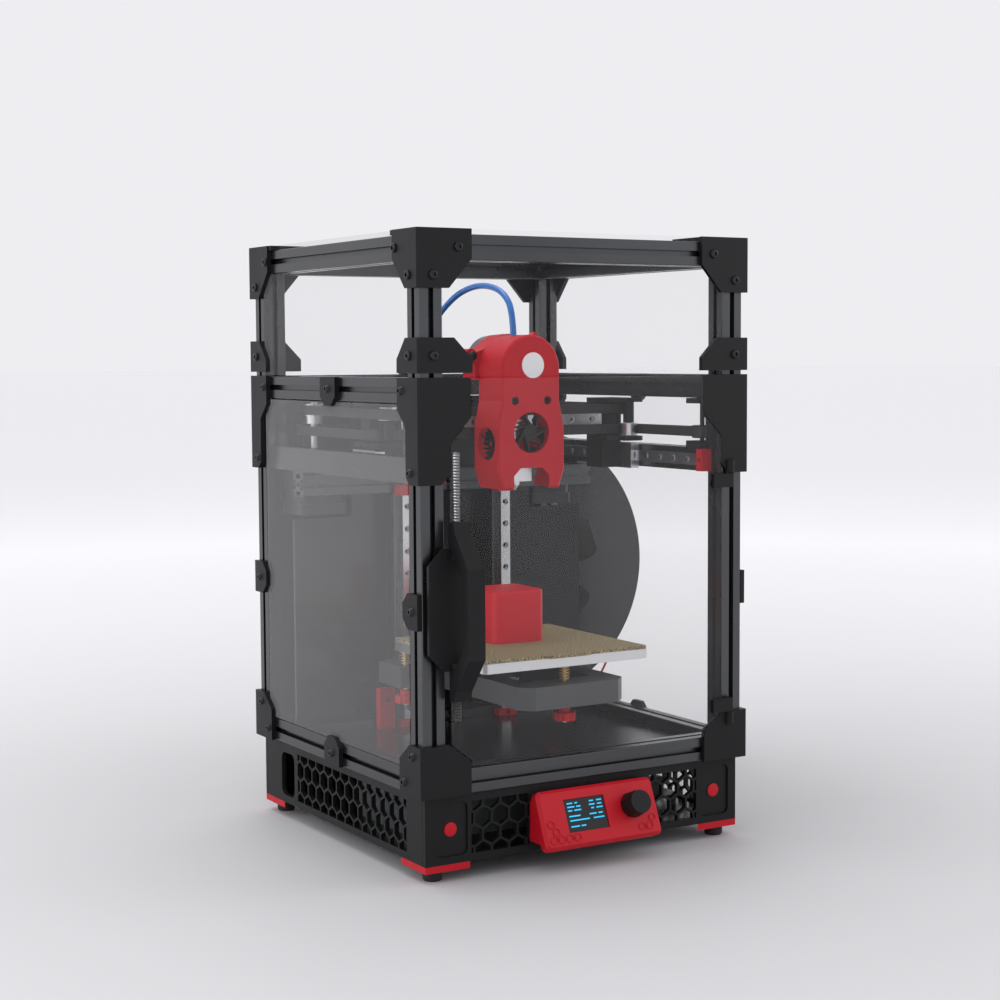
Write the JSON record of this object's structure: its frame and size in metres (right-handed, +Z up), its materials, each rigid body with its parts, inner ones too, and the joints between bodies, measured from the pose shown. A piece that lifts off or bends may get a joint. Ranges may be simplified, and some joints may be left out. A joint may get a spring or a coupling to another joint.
{
  "type": "fdm printer",
  "caption": "Enclosed desktop filament printer: black extrusion frame, clear door and lift-off top hat, belt-driven toolhead, rising bed and rear spool.",
  "frame": {"origin": "on the floor, under the middle of the whole printer with its rear spool", "axes": "+Z up, the door faces -Y, +X to the right when facing the door"},
  "size_m": [0.3272, 0.337, 0.3796],
  "materials": {
    "extrusion": "satin black anodised",
    "clear": "clear acrylic",
    "black_panel": "gloss black",
    "black_print": "matte black printed",
    "red_print": "satin red printed",
    "screw_steel": "black oxide",
    "steel": "brushed",
    "bright": "machined",
    "grey_metal": "dark grey anodised",
    "print_surface": "speckled golden coating",
    "spring_brass": "wire",
    "rubber": "matte",
    "belt": "toothed",
    "motor": "black with bright ends",
    "motor_grey": "turned",
    "tube_blue": "smooth",
    "filament_red": "smooth",
    "screen": "black glass",
    "electronics": "boxed supply and boards",
    "fan_black": "moulded"
  },
  "bodies": {
    "frame": {"extrusion_frame": "extrusion", "base_panels": "black_panel", "back_wall": "black_panel", "side_panels": "clear", "corner_covers": "black_print", "panel_clips": "black_print", "cover_screws": "screw_steel", "base_skirts": "black_print", "foot_plates": "red_print", "rubber_feet": "rubber", "bay_electronics": "electronics", "power_inlet": "black_print", "display_case": "red_print", "display_screen": "screen", "linear_rails": "steel", "rail_caps": "red_print", "stepper_motors": "motor", "belt_mounts": "black_print", "tube_guide": "black_print", "spool_holder": "black_print", "belts": "belt", "filament_strand": "filament_red"},
    "switch": {"power_switch": "black_print"},
    "knob": {"encoder_knob": "black_print"},
    "top_hat": {"hat_frame": "extrusion", "hat_covers": "black_print", "hat_panels": "clear"},
    "door": {"door_panel": "clear", "door_handle": "black_print", "door_hinges": "black_print"},
    "gantry": {"xy_joints": "black_print", "y_carriages": "steel", "x_beam": "extrusion", "x_rail": "steel"},
    "right_idler": {"right_joint_idler": "steel"},
    "left_idler": {"left_joint_idler": "steel"},
    "right_pulley": {"right_motor_pulley": "bright"},
    "left_pulley": {"left_motor_pulley": "bright"},
    "toolhead": {"x_carriage": "steel", "toolhead_cowl": "red_print", "toolhead_body": "red_print", "hotend": "bright", "extruder_motor": "motor_grey", "ptfe_tube": "tube_blue"},
    "drive_gear": {"extruder_gear": "steel"},
    "lever": {"extruder_lever": "red_print"},
    "fan": {"fan_rotor": "fan_black"},
    "blowers": {"blower_rotors": "fan_black"},
    "bed": {"bed_frame": "grey_metal", "bed_plate": "bright", "print_sheet": "print_surface", "bed_springs": "spring_brass", "z_carriages": "steel", "printed_cube": "filament_red"},
    "bed_screw": {"leadscrew": "steel"},
    "nut_front": {"thumb_nut_front": "red_print"},
    "nut_left": {"thumb_nut_left": "red_print"},
    "nut_right": {"thumb_nut_right": "red_print"},
    "reel": {"spool": "black_print", "filament_coil": "filament_red"}
  },
  "joints": [
    {"name": "top_hat_lift", "type": "slide", "parent": "frame", "child": "top_hat", "axis": [0, 0, 1], "range_m": [0, 0.1]},
    {"name": "door_swing", "type": "hinge", "parent": "frame", "child": "door", "pos_m": [0.06005, -0.1455, 0.15], "axis": [0, 0, 1], "range_deg": [0, 110]},
    {"name": "knob_turn", "type": "hinge", "parent": "frame", "child": "knob", "pos_m": [-0.02095, -0.15416, 0.0335], "axis": [0, -0.9205, 0.3907], "continuous": true},
    {"name": "switch_rock", "type": "hinge", "parent": "frame", "child": "switch", "pos_m": [-0.09995, 0.0859, 0.031], "axis": [1, 0, 0], "range_deg": [-4, 4]},
    {"name": "gantry_slide", "type": "slide", "parent": "frame", "child": "gantry", "axis": [0, 1, 0], "range_m": [-0.043, 0.056], "deforming": ["belts", "ptfe_tube"]},
    {"name": "toolhead_slide", "type": "slide", "parent": "gantry", "child": "toolhead", "axis": [1, 0, 0], "range_m": [-0.046, 0.054], "deforming": ["ptfe_tube", "belts"]},
    {"name": "right_idler_spin", "type": "hinge", "parent": "gantry", "child": "right_idler", "pos_m": [0.04535, -0.0552, 0.2582], "axis": [0, 0, 1], "continuous": true},
    {"name": "left_idler_spin", "type": "hinge", "parent": "gantry", "child": "left_idler", "pos_m": [-0.13325, -0.0552, 0.2718], "axis": [0, 0, 1], "continuous": true},
    {"name": "right_motor_spin", "type": "hinge", "parent": "frame", "child": "right_pulley", "pos_m": [0.04405, 0.0555, 0.2582], "axis": [0, 0, 1], "continuous": true},
    {"name": "left_motor_spin", "type": "hinge", "parent": "frame", "child": "left_pulley", "pos_m": [-0.13195, 0.0555, 0.2718], "axis": [0, 0, 1], "continuous": true},
    {"name": "extruder_spin", "type": "hinge", "parent": "toolhead", "child": "drive_gear", "pos_m": [-0.04595, -0.0695, 0.3], "axis": [0, 1, 0], "continuous": true},
    {"name": "lever_tilt", "type": "hinge", "parent": "toolhead", "child": "lever", "pos_m": [-0.03145, -0.0515, 0.298], "axis": [0, 1, 0], "range_deg": [0, 7]},
    {"name": "fan_spin", "type": "hinge", "parent": "toolhead", "child": "fan", "pos_m": [-0.04895, -0.0815, 0.259], "axis": [0, 1, 0], "continuous": true},
    {"name": "blower_spin", "type": "hinge", "parent": "toolhead", "child": "blowers", "pos_m": [-0.04895, -0.071, 0.252], "axis": [1, 0, 0], "continuous": true},
    {"name": "bed_lift", "type": "slide", "parent": "frame", "child": "bed", "axis": [0, 0, 1], "range_m": [-0.018, 0.064]},
    {"name": "leadscrew_spin", "type": "hinge", "parent": "frame", "child": "bed_screw", "pos_m": [-0.04395, 0.02, 0.15], "axis": [0, 0, 1], "continuous": true},
    {"name": "front_nut_turn", "type": "hinge", "parent": "bed", "child": "nut_front", "pos_m": [-0.04395, -0.1145, 0.085], "axis": [0, 0, 1], "continuous": true},
    {"name": "left_nut_turn", "type": "hinge", "parent": "bed", "child": "nut_left", "pos_m": [-0.09895, -0.0085, 0.085], "axis": [0, 0, 1], "continuous": true},
    {"name": "right_nut_turn", "type": "hinge", "parent": "bed", "child": "nut_right", "pos_m": [0.01105, -0.0085, 0.085], "axis": [0, 0, 1], "continuous": true},
    {"name": "spool_turn", "type": "hinge", "parent": "frame", "child": "reel", "pos_m": [0.06355, 0.1315, 0.152], "axis": [0, 1, 0], "continuous": true, "deforming": ["filament_strand"]}
  ],
  "couplings": [
    {"joint": "right_idler_spin", "follows": "toolhead_slide", "rad_per_m": -175.44},
    {"joint": "left_idler_spin", "follows": "toolhead_slide", "rad_per_m": -175.44},
    {"joint": "right_motor_spin", "follows": "gantry_slide", "rad_per_m": -175.44},
    {"joint": "left_motor_spin", "follows": "gantry_slide", "rad_per_m": 175.44},
    {"joint": "leadscrew_spin", "follows": "bed_lift", "rad_per_m": 785.4}
  ]
}
